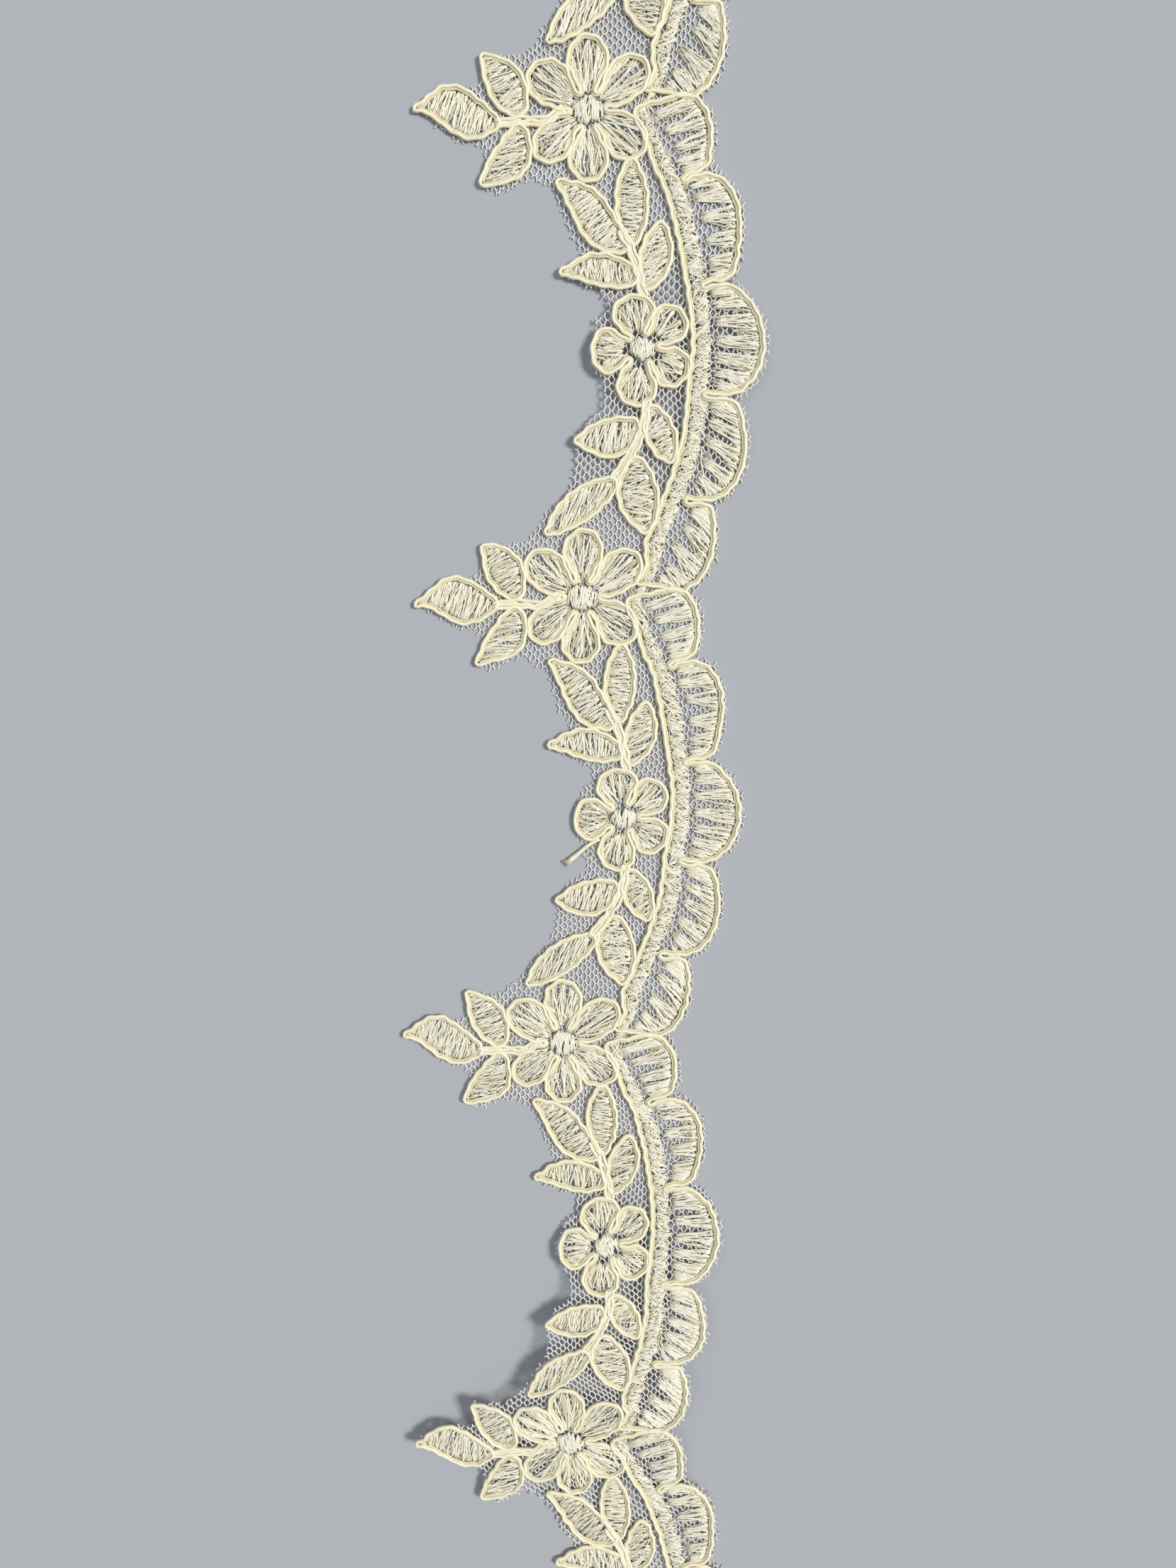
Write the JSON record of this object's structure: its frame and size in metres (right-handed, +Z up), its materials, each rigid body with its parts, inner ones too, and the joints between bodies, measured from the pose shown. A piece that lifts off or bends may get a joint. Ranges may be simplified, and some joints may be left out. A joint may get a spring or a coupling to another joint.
{
  "type": "corded lace trim",
  "caption": "Cut length of corded lace trim: net with flowers and leaf sprays outlined in couched cord, and one scalloped edge.",
  "frame": {"origin": "on the surface the trim lies on, under the middle of its bounding box", "axes": "+Y along the trim towards its upper cut end, +X across it towards the scalloped edge, +Z up, out of the trim's right side"},
  "size_m": [0.0582, 0.2584, 0.0057],
  "materials": {
    "net": "fine matt hexagonal net, ivory",
    "fill": "lustrous ivory embroidery thread",
    "cord": "matt cream cord, paler along its top"
  },
  "bodies": {
    "root": {"net_ground": "net", "large_flower_1_fill": "fill", "large_flower_1_cord": "cord", "large_flower_2_fill": "fill", "large_flower_2_cord": "cord", "large_flower_3_fill": "fill", "large_flower_3_cord": "cord", "large_flower_4_fill": "fill", "large_flower_4_cord": "cord", "small_flower_1_fill": "fill", "small_flower_1_cord": "cord", "small_flower_2_fill": "fill", "small_flower_2_cord": "cord", "small_flower_3_fill": "fill", "small_flower_3_cord": "cord", "tip_spray_1_fill": "fill", "tip_spray_1_cord": "cord", "tip_spray_2_fill": "fill", "tip_spray_2_cord": "cord", "tip_spray_3_fill": "fill", "tip_spray_3_cord": "cord", "tip_spray_4_fill": "fill", "tip_spray_4_cord": "cord", "upper_spray_1_fill": "fill", "upper_spray_1_cord": "cord", "upper_spray_2_fill": "fill", "upper_spray_2_cord": "cord", "upper_spray_3_fill": "fill", "upper_spray_3_cord": "cord", "upper_spray_4_fill": "fill", "upper_spray_4_cord": "cord", "lower_spray_0_fill": "fill", "lower_spray_0_cord": "cord", "lower_spray_1_fill": "fill", "lower_spray_1_cord": "cord", "lower_spray_2_fill": "fill", "lower_spray_2_cord": "cord", "lower_spray_3_fill": "fill", "lower_spray_3_cord": "cord", "header_cord": "cord", "header_band": "fill", "scallop_cord": "cord", "scallop_fill_0": "fill", "scallop_fill_1": "fill", "scallop_fill_2": "fill", "scallop_fill_3": "fill", "scallop_fill_4": "fill"}
  },
  "joints": []
}
